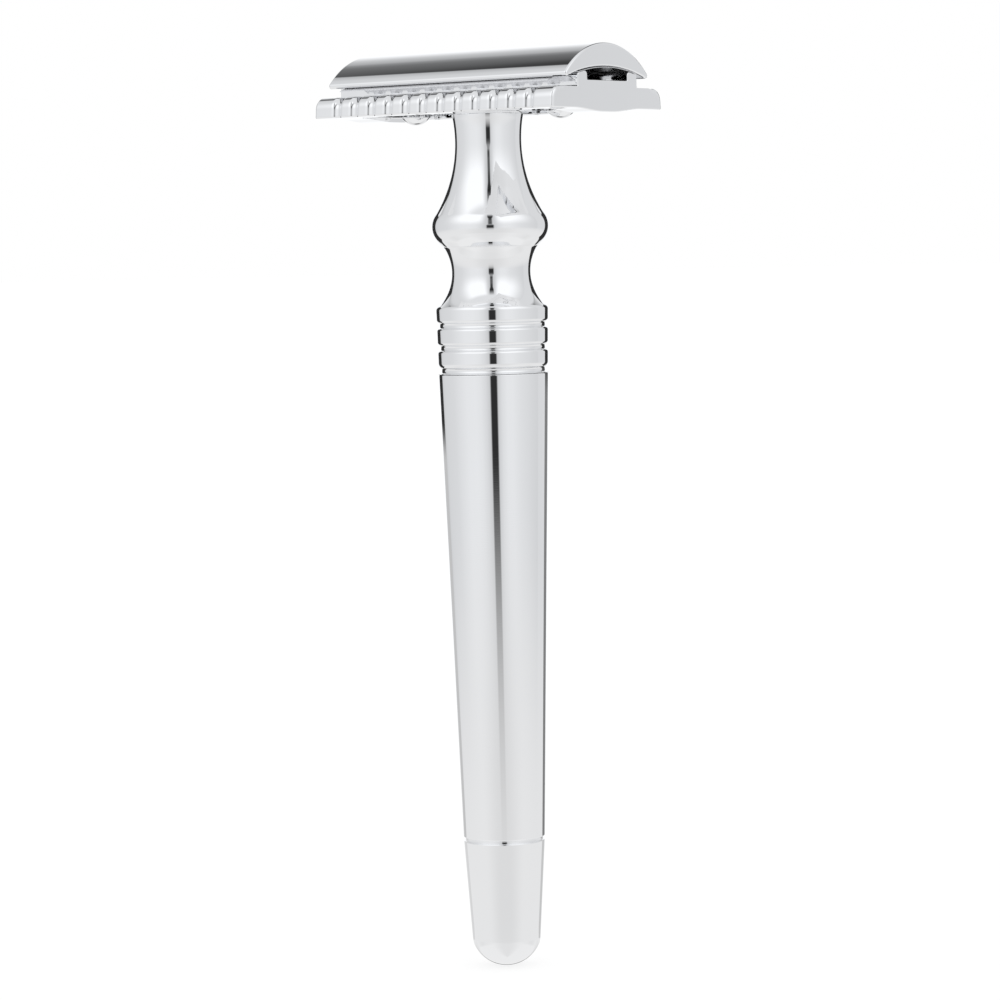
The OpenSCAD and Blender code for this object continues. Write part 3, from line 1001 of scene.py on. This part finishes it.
def by_height(nodes, height, levels):
    """Brightness from a list of (degrees above the horizon, brightness)."""
    return nodes.ramp(nodes.math("MULTIPLY_ADD", height, 1 / 180, 0.5),
                      [(degrees / 180 + 0.5, level) for degrees, level in levels])


def table_light(nodes):
    """A white table, duller towards the camera and far out, shaded in a band behind the razor."""
    x, y = place_mm(nodes)[:2]
    away = nodes.math("SQRT", nodes.math("ADD", nodes.math("MULTIPLY", x, x), nodes.math("MULTIPLY", y, y)))
    azimuth = around_camera(nodes, x, y)
    front = nodes.fade(nodes.math("ABSOLUTE", azimuth), *TABLE_FRONT)
    level = nodes.math("MULTIPLY_ADD", nodes.fade(away, *TABLE_NEAR), TABLE_NEAR_LIFT,
                       nodes.mix(front, TABLE_LEVEL, TABLE_FRONT_LEVEL))
    band = nodes.math("MULTIPLY", nodes.smooth(away, *TABLE_BAND[:2]), nodes.fade(away, *TABLE_BAND[2:]))
    level = nodes.mix(band, level, by_azimuth(nodes, azimuth, BAND_ROUND))
    return level, nodes.fade(away, *TABLE_EDGE)


def make_table():
    """A table below the razor, far larger than it."""
    reach = TABLE_EDGE[1]
    reflected_only("table", [(x * reach, y * reach, TABLE_Z) for x, y in SQUARE], table_light)


def mirror_z(nodes):
    """Height in millimetres of the spot on the razor that mirrors the shaded point."""
    geometry = nodes.tree.nodes.new("ShaderNodeNewGeometry")
    path = nodes.tree.nodes.new("ShaderNodeLightPath")
    back = nodes.tree.nodes.new("ShaderNodeSeparateXYZ")
    nodes.put(back, 0, geometry.outputs["Incoming"])
    rise = nodes.math("MULTIPLY", back.outputs[2], path.outputs["Ray Length"])
    return nodes.math("ADD", place_mm(nodes)[2], nodes.math("DIVIDE", rise, MM))


def make_card(name, azimuth, black_z, low_level, foot_level):
    """A card behind the razor that draws its dark outline.

    It is black where the razor mirrors it above black_z, and paler lower down and at the foot.
    """
    around = math.radians(CAMERA_AZIMUTH + azimuth)
    out = Vector((math.sin(around), -math.cos(around), 0))
    side = Vector((-out.y, out.x, 0)) * CARD_HALF_W
    middle = out * CARD_AWAY
    low, top = Vector((0, 0, CARD_LOW)), Vector((0, 0, CARD_TOP))
    corners = [middle - side + low, middle + side + low, middle + side + top, middle - side + top]

    def card_light(nodes):
        """The card's brightness, by the height on the razor that mirrors it."""
        z = mirror_z(nodes)
        foot_z = barrel_low.z - 0.1
        level = nodes.mix(nodes.smooth(z, foot_z - 0.2, foot_z + 0.2), foot_level, low_level)
        level = nodes.mix(nodes.smooth(z, black_z - 3, black_z + 3), level, CARD_BLACK)
        return level, 1.0

    reflected_only(name, corners, card_light)


def side_light(nodes, azimuth, aside, height):
    """The soft boxes each side, brighter higher up, under an even ceiling."""
    level = by_azimuth(nodes, azimuth, ROUND)
    lift = nodes.math("MULTIPLY", nodes.smooth(height, 2, 36), nodes.smooth(aside, 6, 24))
    lift = nodes.math("MULTIPLY", lift, nodes.fade(aside, 60, 115))
    level = nodes.math("MULTIPLY", level, nodes.math("MULTIPLY_ADD", lift, 0.35, 1.0))
    return nodes.mix(nodes.smooth(height, 53, 63), nodes.math("MINIMUM", level, 1.08), 0.8)


def beside_gap(nodes, aside, height):
    """0 in the dark gap at the camera, which is narrower above its middle, and 1 round it."""
    edge = nodes.math("MULTIPLY_ADD", nodes.smooth(height, 3, 9), 3.2, aside)
    edge = nodes.math("MULTIPLY_ADD", nodes.smooth(height, 36, 46), -2.6, edge)
    return nodes.math("MAXIMUM", nodes.smooth(edge, 5.3, 9.1), nodes.smooth(height, 44, 62))


def make_world():
    """A studio: tall soft boxes each side, a shaded wall behind, and a dark gap at the camera."""
    world = bpy.data.worlds.new("studio")
    bpy.context.scene.world = world
    world.use_nodes = True
    nodes = Nodes(world.node_tree)
    look = nodes.tree.nodes.new("ShaderNodeTexCoord").outputs["Generated"]
    split = nodes.tree.nodes.new("ShaderNodeSeparateXYZ")
    nodes.put(split, 0, look)
    azimuth = around_camera(nodes, split.outputs[0], split.outputs[1])
    height = nodes.math("MULTIPLY", nodes.math("ARCSINE", split.outputs[2]), 180 / math.pi)
    aside = nodes.math("ABSOLUTE", azimuth)
    studio = nodes.mix(nodes.smooth(aside, 140.5, 143.5), side_light(nodes, azimuth, aside, height),
                       by_height(nodes, height, BEHIND))
    studio = nodes.mix(beside_gap(nodes, aside, height), by_height(nodes, height, GAP), studio)

    light_path = nodes.tree.nodes.new("ShaderNodeLightPath")
    seen = nodes.math("MAXIMUM", light_path.outputs["Is Camera Ray"], light_path.outputs["Is Diffuse Ray"])
    studio = nodes.mix(seen, studio, 1.0)
    tint = nodes.mix_colour(seen, (0.985, 0.995, 1.01, 1), (1, 1, 1, 1))
    glow = nodes.add("ShaderNodeBackground", Color=tint, Strength=studio)
    nodes.add("ShaderNodeOutputWorld", Surface=glow.outputs[0])


# ---------------------------------------------------------------- build

turned_chrome = chrome("turned chrome", (1, 1, 12))
drawn_chrome = chrome("drawn chrome", (0.1, 1, 1))
turned_steel = steel("turned steel", (1, 1, 8))
blade_steel = steel("ground blade steel", (0.04, 1, 1))
blade_edge = honed("honed blade edge")

make_cap(drawn_chrome)
make_stud("left", turned_chrome)
make_stud("right", turned_chrome)
make_post(turned_steel)
make_blade(blade_steel, blade_edge)
make_base_plate(drawn_chrome)
make_neck(turned_chrome)
make_barrel(turned_chrome)
make_foot(turned_chrome)

for node, finish in (("thread_insert", brass("machined brass")), ("tie_rod", turned_steel),
                     ("neck_seal", rubber("seal rubber")), ("foot_seal", rubber("seal rubber"))):
    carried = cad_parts[node]
    for slot in carried.material_slots:
        slot.material = finish

make_camera()
make_floor()
make_table()
make_card("left card", **LEFT_CARD)
make_card("right card", **RIGHT_CARD)
make_world()
bpy.context.scene.view_settings.view_transform = "Standard"
